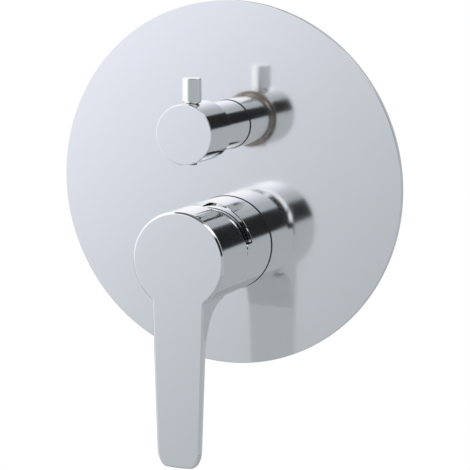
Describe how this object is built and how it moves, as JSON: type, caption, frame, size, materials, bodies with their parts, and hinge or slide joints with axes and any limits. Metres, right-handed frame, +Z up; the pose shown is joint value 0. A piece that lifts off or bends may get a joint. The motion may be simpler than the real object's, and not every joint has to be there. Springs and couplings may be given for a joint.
{
  "type": "concealed shower mixer",
  "caption": "Round wall plate with a hanging lever handle on a hub below and a diverter knob with an upright pin above, on a brass in-wall valve body.",
  "frame": {"origin": "midway between the two fixing holes, in the rear plane of the fixing lugs", "axes": "+Z up, -Y out of the wall towards the user, +X to the user's right"},
  "size_m": [0.18, 0.1134, 0.2194],
  "materials": {
    "polished_chrome": "polished chrome plate",
    "plate_chrome": "polished chrome plate with a slight haze",
    "cast_brass": "cast, as it leaves the mould, machined at its seats",
    "turned_brass": "turned, bright",
    "steel": "plain stainless steel",
    "rubber": "matt",
    "foam": "soft closed-cell foam",
    "housing_plastic": "moulded, slightly satin",
    "carrier_plastic": "moulded, slightly satin",
    "ceramic": "ground flat",
    "plug_plastic": "moulded, glossy grey"
  },
  "bodies": {
    "fixed_body": {"valve_body": "cast_brass", "fixing_bracket": "steel", "bracket_screws": "steel", "wall_plate": "plate_chrome", "plate_seal": "foam", "mixer_plate_oring": "rubber", "diverter_plate_oring": "rubber", "cap_ring": "rubber", "sleeve_ring": "rubber", "cartridge_base": "housing_plastic", "base_seals": "rubber", "fixed_disc": "ceramic", "cartridge_housing": "housing_plastic", "cartridge_nut": "turned_brass", "diverter_fixed_disc": "ceramic", "diverter_bonnet": "turned_brass", "bonnet_oring": "rubber", "diverter_sleeve": "polished_chrome"},
    "turning_carrier": {"turning_cap": "polished_chrome", "cartridge_carrier": "carrier_plastic", "stem_pin": "steel"},
    "sliding_disc": {"disc_driver": "carrier_plastic", "moving_disc": "ceramic"},
    "lever": {"cartridge_stem": "steel", "lever_handle": "polished_chrome", "handle_grub_screw": "steel", "handle_screw_plug": "plug_plastic"},
    "diverter": {"diverter_turning_disc": "ceramic", "diverter_spindle": "turned_brass", "spindle_oring": "rubber", "spindle_clip": "steel", "diverter_knob": "polished_chrome", "diverter_pin": "polished_chrome", "diverter_grub_screw": "steel"}
  },
  "joints": [
    {"name": "temperature_turn", "type": "hinge", "parent": "fixed_body", "child": "turning_carrier", "pos_m": [0, -0.0825, -0.0294], "axis": [0, -1, 0], "range_deg": [-45, 45]},
    {"name": "flow_lift", "type": "hinge", "parent": "turning_carrier", "child": "lever", "pos_m": [0, -0.0825, -0.0294], "axis": [-1, 0, 0], "range_deg": [0, 20]},
    {"name": "disc_slide", "type": "slide", "parent": "turning_carrier", "child": "sliding_disc", "axis": [0, 0, -1], "range_m": [0, 0.00486]},
    {"name": "diverter_turn", "type": "hinge", "parent": "fixed_body", "child": "diverter", "pos_m": [0, -0.054, 0.0294], "axis": [0, -1, 0], "range_deg": [-45, 45]}
  ],
  "couplings": [
    {"joint": "disc_slide", "follows": "flow_lift", "m_per_rad": 0.013913}
  ]
}
